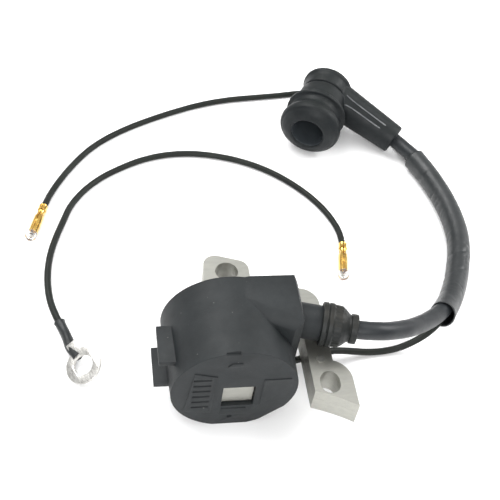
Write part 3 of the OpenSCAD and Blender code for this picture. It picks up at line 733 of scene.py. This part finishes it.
def makeGland():
    i, f, e, r = glandSizes["inner"], glandSizes["from"], glandSizes["end"], glandSizes["leadRadius"]
    step = glandSizes["step"]
    profile = [(f, i), (f, i + 1.3), (f + 1.6, i + 1.4), (f + 1.9, i + 0.9), (f + 2.2, i + 1.4),
               (f + 3.6, i + 1.3), (f + 4, i + 0.9), (f + 6.4, i + 0.8), (f + 7.6, i + 0.1), (f + 9, r + 1.6), (e - 2.3, r + 1.3),
               (e - 2.2, r + 1.8), (e - 0.2, r + 1.8), (e, r + 1.6), (e, r), (step, r), (step, i)]
    soft = rounded(profile + [profile[0]], glandSizes["round"], 4)[:-1]
    sides = glandSizes["sides"]
    angles = np.linspace(0, 2 * math.pi, sides, endpoint=False)
    verts = []
    for n, radius in soft:
        rib = glandSizes["ribHigh"] if radius > i + 0.7 and f + 4 < n < f + 6.8 else 0.0
        for t in angles:
            ribbed = radius + rib * max(0, math.cos(glandSizes["ribs"] * t))
            verts.append((ribbed * math.cos(t), ribbed * math.sin(t), n))
    last = (len(soft) - 1) * sides
    faces = loftFaces(len(soft), sides)
    faces += [(last + j, last + (j + 1) % sides, (j + 1) % sides, j) for j in range(sides)]
    obj = addMesh("leadGland", np.array(verts) * mm, faces, finishes["gland"])
    obj.data.transform(neckPlace)
    return byAngle(outward(obj), 50)


leadGland = makeGland()


def roundedBlock(name, low, high, radius, mat, place):
    work = bmesh.new()
    bmesh.ops.create_cube(work, size=1.0)
    low, high = Vector(low), Vector(high)
    for v in work.verts:
        v.co = Vector([low[k] + (v.co[k] + 0.5) * (high[k] - low[k]) for k in range(3)]) * mm
    bmesh.ops.bevel(work, geom=work.edges[:], offset=radius * mm, segments=3, affect="EDGES", profile=0.5)
    mesh = bpy.data.meshes.new(name)
    work.to_mesh(mesh)
    work.free()
    obj = addObject(name, mesh, mat)
    mesh.transform(place)
    return outward(obj)


glandTab = roundedBlock("glandTab", glandSizes["tabLow"], glandSizes["tabHigh"], glandSizes["tabRound"],
                        finishes["gland"], neckPlace)
print("gland made")

# plug boot
bootSizes = {"flange": 13.1, "bore": 6.75, "flangeAt": 24.4, "boreFrom": 7, "chamber": 4.3,
             "chamberFrom": -4.4, "armLength": 36.8, "armStraight": 36.2, "armBase": 8.3, "armEnd": 6.3, "armBore": 3.4,
             "armBoreFrom": 13, "spikeRadius": 0.9, "dent": 0.22, "dentAt": 122, "dentWidth": 8,
             "voxel": 0.0003, "ridgeRadius": 0.34, "ridgeAngles": (111, 133), "ridgeSpans": ((8.4, 31.0), (10.2, 29.5))}


# outline of the nose as (along, radius): closed end, groove, middle flange, front flange
def noseOutline():
    rim, f, bore = bootSizes["flange"], bootSizes["flangeAt"], bootSizes["bore"]
    return [(-5.9, 0.001), (-5.8, 6), (-5, 8.4), (-3.4, 9), (-3, rim - 2.2), (-1.4, rim - 2.1),
            (-0.8, rim - 2.6), (0.4, 10.2), (4.1, 9.9), (4.4, 8.9), (5.1, 8.9), (5.5, 10.3), (12.4, 10.8),
            (13.9, rim - 0.9), (14.6, rim - 0.2), (16.1, rim - 0.1), (16.5, rim - 1.6), (18.4, rim - 2.2),
            (20.9, rim - 1.9), (21.4, rim - 0.7), (23.2, rim), (f + 0.3, rim), (f + 1.5, rim - 0.5),
            (f + 1.6, rim - 1), (f + 2.6, rim - 1.8), (f + 3.6, rim - 3.2), (f + 4.2, bore + 1.6),
            (f + 4.4, bore + 0.7), (f + 4.4, 0.001)]


# tapering arm with a shallow dent between the two ridges
def makeArm():
    straight, base = bootSizes["armStraight"], bootSizes["armBase"]
    stations = np.concatenate([np.linspace(0.5, 7, 4), np.linspace(8, 36.0, 57),
                               [36.5, bootSizes["armLength"]]])
    angles = np.linspace(0, 360, 180, endpoint=False)
    rings = []
    for s in stations:
        r = base + (bootSizes["armEnd"] - base) * min(s, straight) / straight
        if s > straight:
            r -= 0.5 * ((s - straight) / 0.6) ** 2
        fade = 1 / (1 + math.exp(-(s - 9.5) * 1.6)) / (1 + math.exp((s - 31.5) * 1.3))
        ring = []
        for a in angles:
            dented = r - bootSizes["dent"] * fade * math.exp(
                -((a - bootSizes["dentAt"]) / bootSizes["dentWidth"]) ** 4)
            ring.append((s, dented * math.cos(math.radians(a)), dented * math.sin(math.radians(a))))
        rings.append(ring)
    arm = loft("bootArm", np.array(rings) * mm, finishes["boot"])
    arm.data.transform(bootPlace)
    return outward(arm)


def makeBoot():
    f, bore, chamber = bootSizes["flangeAt"], bootSizes["bore"], bootSizes["chamber"]
    low, boreFrom = bootSizes["chamberFrom"], bootSizes["boreFrom"]
    armBore, spike, armFrom = bootSizes["armBore"], bootSizes["spikeRadius"], bootSizes["armBoreFrom"]
    nose = turned("bootNose", rounded(noseOutline(), 0.3, 3), nosePlace, finishes["boot"], 128)
    arm = makeArm()
    cut = turned("cutBore", [(low, 0.001), (low, chamber), (boreFrom, chamber), (boreFrom, bore),
                             (f + 3.2, bore), (f + 4, bore + 0.25), (f + 4.6, bore + 0.9), (f + 9, bore + 2), (f + 9, 0.001)],
                 nosePlace, None, 96)
    cutArm = turned("cutArm", [(6, 0.001), (6, spike), (armFrom, spike), (armFrom, armBore),
                               (bootSizes["armStraight"], armBore), (36.9, 3.7), (40, 3.9), (40, 0.001)],
                    bootPlace @ alongX, None, 64)
    for other, kind in ((arm, "UNION"), (cut, "DIFFERENCE"), (cutArm, "DIFFERENCE")):
        step = nose.modifiers.new(kind, "BOOLEAN")
        step.operation = kind
        step.solver = "EXACT"
        step.object = other
    remesh = nose.modifiers.new("skin", "REMESH")
    remesh.mode = "VOXEL"
    remesh.voxel_size = bootSizes["voxel"]
    remesh.use_smooth_shade = True
    ease = nose.modifiers.new("ease", "SMOOTH")
    ease.factor = 0.5
    ease.iterations = 1
    nose.name = "plugBoot"
    boot = plainMesh(nose)
    for other in (arm, cut, cutArm):
        bpy.data.objects.remove(other)
    boot.data.materials.clear()
    boot.data.materials.append(finishes["boot"])
    # faces inside the bore take the lighter rubber, which paints light into the bore's shade
    boot.data.materials.append(finishes["bore"])
    toNose = nosePlace.inverted()
    for p in boot.data.polygons:
        p.use_smooth = True
        at = toNose @ p.center / mm
        if math.hypot(at.x, at.y) < bore + 0.6 and -4 < at.z < f + 3.8:
            p.material_index = 1
    return boot


# two thin ridges along the arm, coloured with the painted-highlight finish
def makeRidges():
    ridges = []
    for k, (start, end) in zip(bootSizes["ridgeAngles"], bootSizes["ridgeSpans"]):
        line = []
        for s in np.linspace(start, end, 50):
            u = (s - start) / (end - start)
            a = math.radians(k + 7 * math.exp(-u * 14) * (1 if k > 120 else -1))
            dip = 0.5 * (math.exp(-u * 30) + math.exp(-(1 - u) * 30))
            r = bootSizes["armBase"] - 2 * s / bootSizes["armStraight"] - 0.12 - dip
            line.append(bootPlace @ Vector((s * mm, r * math.cos(a) * mm, r * math.sin(a) * mm)))
        ridges.append(jacketed("bootRidgePaintedHighlight" + str(k), np.array(line), 2 * bootSizes["ridgeRadius"] * mm,
                               finishes["ridgePaintedHighlight"], 12, 0.00006, float(k)))
    return ridges


plugBoot = makeBoot()
bootRidges = makeRidges()
print("boot made,", len(plugBoot.data.polygons), "faces")


# push-on terminals
terminalSizes = {"length": 15.0, "width": 3.6, "sheet": 0.38, "edge": 0.00006}


# sheet metal rolled to arcs: stations of (along, radius, half opening in degrees, centre height)
def rolled(name, stations, thick, mat, place, count):
    verts, faces = [], []
    for x, r, gap, up in stations:
        for t in np.radians(np.linspace(90 + gap, 450 - gap, count)):
            verts.append((x, r * math.cos(t), up + r * math.sin(t)))
    for i in range(len(stations) - 1):
        for j in range(count - 1):
            a = i * count + j
            faces.append((a, a + 1, a + 1 + count, a + count))
    obj = addMesh(name, np.array(verts) * mm, faces, mat)
    wall = obj.modifiers.new("wall", "SOLIDIFY")
    wall.thickness = thick * mm
    wall.offset = 0
    bevel = obj.modifiers.new("edge", "BEVEL")
    bevel.width = terminalSizes["edge"]
    bevel.segments = 2
    bevel.limit_method = "ANGLE"
    bevel.angle_limit = math.radians(50)
    obj = plainMesh(obj)
    obj.data.transform(place)
    outward(obj)
    return byAngle(obj, 45)


def endPlace(ends, up=0.0):
    (x0, y0), (x1, y1) = ends
    turn = Matrix.Rotation(math.atan2(y1 - y0, x1 - x0), 4, "Z")
    return Matrix.Translation(Vector((x0, y0, up)) * mm) @ turn


# crimped push-on terminal: barrel, two pairs of wings, the floor that joins them, and the wire's strands
def makePushOn(prefix, ends):
    up = floorZ + terminalSizes["width"] / 2 + 0.02
    place = endPlace(ends, up)
    sheet, brass = terminalSizes["sheet"], finishes["brass"]
    half = terminalSizes["width"] / 2 - sheet / 2
    shapes = (("Barrel", [(5.9, half * 0.9, 9, 0), (6.3, half, 4, 0), (9, half, 3, 0), (14.3, half, 3, 0),
                          (14.8, half * 1.03, 4, 0)], sheet, brass, 28),
              ("WingsA", [(0.0, 1.5, 8, -0.1), (0.2, 1.46, 4, -0.12), (2.3, 1.44, 4, -0.14),
                          (2.6, 1.5, 8, -0.12)], sheet, brass, 28),
              ("WingsB", [(2.9, 1.35, 10, -0.3), (3.1, 1.28, 5, -0.34), (5.2, 1.28, 5, -0.34),
                          (5.4, 1.4, 12, -0.25)], sheet, brass, 28),
              ("Floor", [(1.6, 1.5, 128, -0.1), (2.4, 1.4, 128, -0.2), (3.4, 1.3, 128, -0.3),
                         (4.6, 1.3, 126, -0.3), (5.4, 1.5, 120, -0.1), (6.3, half, 112, 0)], sheet, brass, 12),
              ("Strands", [(-1.0, 0.55, 2, -0.45), (2.2, 0.6, 2, -0.45), (3.0, 0.72, 2, -0.45),
                           (5.4, 0.7, 2, -0.4), (5.9, 0.3, 2, -0.4)], 0.1, finishes["copper"], 16))
    return [rolled(prefix + part, stations, thick, mat, place, count)
            for part, stations, thick, mat, count in shapes]


def makeCap(name, ends):
    r = terminalSizes["width"] / 2
    up = floorZ + r + 0.6
    place = endPlace(ends, up) @ Matrix.Rotation(math.pi / 2, 4, "Y")
    at = terminalSizes["length"] + 0.05
    outer = [(at, r - 0.6), (at, r + 0.1), (at + 0.3, r + 0.3), (at + 2.1, r + 0.3), (at + 2.9, r - 0.1),
             (at + 3.35, r - 0.7), (at + 3.4, 0.001)]
    inner = [(at + 2.6, 0.001), (at + 2.4, r - 1.0), (at + 1.8, r - 0.6), (at, r - 0.6)]
    return turned(name, rounded(outer, 0.2, 3) + inner, place, finishes["clear"], 48)


stopPieces = makePushOn("stopEnd", stopEnd)
jumperPieces = makePushOn("jumperEnd", jumperEnd)
stopCap = makeCap("stopEndCap", stopEnd)
jumperCap = makeCap("jumperEndCap", jumperEnd)
print("terminals made")

# ring terminal and its tubing
ringSizes = {"outer": 13.0, "eye": 7.0, "out": 10.4, "thick": 0.9, "roll": 31.0, "neckHalf": 1.75,
             "edgeRound": 0.00018}


def makeRing():
    middle, outer, eye = (ringSizes["out"], 0), ringSizes["outer"] / 2, ringSizes["eye"] / 2
    neck, roll = ringSizes["neckHalf"], math.radians(ringSizes["roll"])
    a = math.degrees(math.asin(neck / outer))
    outline = arcPoints(middle, outer, 180 + a, 540 - a, 64)
    outline += [(3.4, neck), (0.2, neck), (0.2, -neck), (3.4, -neck)]
    obj = flatPlate("earthRing", [outline, arcPoints(middle, eye, 0, 360, 49)[:-1]], ringSizes["thick"] * mm,
                    ringSizes["edgeRound"], finishes["tin"], 2)
    up = floorZ + outer * math.sin(roll) + 0.5
    place = endPlace(ringEnd, up) @ Matrix.Rotation(roll, 4, "X")
    obj.data.transform(place)
    return byAngle(outward(obj), 40)


earthRing = makeRing()


# shrunk tubing over the wire's end: swollen over the crimp, flat towards the ring
tubingSizes = {"radius": 1.72, "sides": 32}


def makeTubing():
    points = [(-56.5, 41.6, lie + 0.45), (-54.6, 37, lie + 0.45), (-52.8, 31, lie + 0.7),
              (-51.4, 27.6, lie + 1.4), (-50.2, 25.4, lie + 2)]
    line = smoothLine(points, 0.35) * mm
    d, side, up = lineFrame(line)
    radius = tubingSizes["radius"]
    angles = np.linspace(0, 2 * math.pi, tubingSizes["sides"], endpoint=False)
    rings = []
    for i, t in enumerate(np.linspace(0, 1, len(line))):
        bulge = 0.22 * math.exp(-((t - 0.62) / 0.16) ** 2) + 0.28 * math.exp(-t / 0.05)
        a = radius + bulge + 0.3 * max(0, t - 0.7)
        b = radius + bulge * 0.6 - 0.9 * max(0, t - 0.72)
        ripple = 0.04 * np.sin(angles * 3 + 9 * t) + 0.03 * np.sin(angles * 5 - 14 * t)
        rings.append(line[i] + mm * ((a + ripple) * np.cos(angles))[:, None] * side[i]
                     + mm * ((b + ripple) * np.sin(angles))[:, None] * up[i])
    mouth = [line[0] + (rings[0] - line[0]) * k + d[0] * depth * mm
             for k, depth in ((0.86, 0.12), (0.82, 0.8), (0.8, 1.6))]
    lip = [line[0] + (rings[0] - line[0]) * 0.95 - d[0] * 0.1 * mm]
    tail = [line[-1] + (rings[-1] - line[-1]) * k + d[-1] * depth * mm
            for k, depth in ((0.95, 0.1), (0.8, 0.12), (0.7, -0.4))]
    return loft("ringTubing", np.array(mouth[::-1] + lip + rings + tail), finishes["tubing"])


ringTubing = makeTubing()
print("ring made")

# finishes of the carried-over parts
nodesOfFinish = {
    "rivet": ("core_rivets",), "potting": ("potting",), "bobbin": ("primary_bobbin",), "tape": ("winding_tape",),
    "copper": ("primary_winding", "secondary_winding", "trigger_coil", "ht_link"),
    "darkPlastic": ("secondary_bobbin",), "board": ("circuit_board",), "capacitor": ("board_capacitor",),
    "chip": ("control_chip", "power_transistor"), "resistor": ("board_resistors",),
    "brass": ("earth_strap", "outlet_stud", "spring_cup", "stop_terminal", "jumper_terminal"),
    "gland": ("stop_grommet", "gland"), "spring": ("contact_spring",), "steel": ("core_stack",),
    "housing": ("housing",), "lead": ("ht_lead",), "sleeve": ("sleeve",), "wire": ("stop_wire", "jumper_wire"),
    "clear": ("stop_terminal_cover", "jumper_terminal_cover"), "tin": ("ring_terminal",),
    "tubing": ("ring_tubing",), "boot": ("plug_boot",)}
for key, names in nodesOfFinish.items():
    for name in names:
        for s in nodes[name].material_slots:
            s.material = finishes[key]

# what each piece stands for
for piece, node, slot in (
        (coreSheets, "core_stack", "lamination_steel"), (drumHousing, "housing", "housing_plastic"),
        (leadGland, "gland", "rubber_dark"), (glandTab, "gland", "rubber_dark"),
        (plugLead, "ht_lead", "lead_jacket"), (sleeveTube, "sleeve", "sleeve_vinyl"),
        (stopWire, "stop_wire", "wire_insulation"), (jumperWire, "jumper_wire", "wire_insulation"),
        (stopCap, "stop_terminal_cover", "clear_vinyl"), (jumperCap, "jumper_terminal_cover", "clear_vinyl"),
        (earthRing, "ring_terminal", "tinned_copper"), (ringTubing, "ring_tubing", "shrink_tubing"),
        *[(p, "stop_terminal", "terminal_brass") for p in stopPieces],
        *[(p, "jumper_terminal", "terminal_brass") for p in jumperPieces]):
    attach(piece, "coil")
    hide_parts(node)
for piece in (plugBoot, *bootRidges):
    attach(piece, "boot")
    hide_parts("plug_boot")


print("pieces joined to their bodies")

# floor and light
stageSizes = {"floor": 3.0, "tone": 0.96, "gap": 0.00002, "skyLow": (0.42, 0.42, 0.43), "skyStrength": 0.9}


def makeStage():
    h = stageSizes["floor"] / 2
    z = floorZ * mm - stageSizes["gap"]
    mat, tree, shader = newMaterial("paleFloor")
    coords = tree.nodes.new("ShaderNodeTexCoord").outputs["Object"]
    tone = stageSizes["tone"]
    tree.links.new(rampNode(tree, noiseNode(tree, coords, 3.0), 0.3, 0.7, (tone,) * 3, (tone + 0.01,) * 3),
                   shader.inputs["Base Color"])
    shader.inputs["Roughness"].default_value = 0.9
    floor = addMesh("paleFloorSheet", [(-h, -h, z), (h, -h, z), (h, h, z), (-h, h, z)], [(0, 1, 2, 3)], mat)


def addLight(name, place, target, size, power):
    data = bpy.data.lights.new(name, "AREA")
    data.energy = power
    data.size = size
    light = bpy.data.objects.new(name, data)
    light.location = place
    light.rotation_euler = (Vector(target) - Vector(place)).to_track_quat("-Z", "Y").to_euler()
    bpy.context.scene.collection.objects.link(light)


makeStage()
lightTarget = (0.02, 0.08, 0)
for name, place, size, power in (("keyLight", (-0.35, 0.45, 0.9), 0.7, 9.5),
                                 ("rightLight", (0.8, 0.2, 0.6), 0.5, 6.5),
                                 ("frontLight", (-0.2, -0.8, 0.6), 0.7, 8.0)):
    addLight(name, place, lightTarget, size, power)


# soft room that gets lighter towards the top
def makeRoom():
    world = bpy.data.worlds.new("softRoom")
    world.use_nodes = True
    tree = world.node_tree
    background = tree.nodes["Background"]
    coords = tree.nodes.new("ShaderNodeTexCoord")
    split = tree.nodes.new("ShaderNodeSeparateXYZ")
    tree.links.new(coords.outputs["Generated"], split.inputs[0])
    tree.links.new(rampNode(tree, split.outputs["Z"], 0.1, 0.85, stageSizes["skyLow"], (1, 1, 1)),
                   background.inputs["Color"])
    background.inputs["Strength"].default_value = stageSizes["skyStrength"]
    bpy.context.scene.world = world


makeRoom()
bpy.context.scene.view_settings.view_transform = "Standard"
print("stage and lights set")
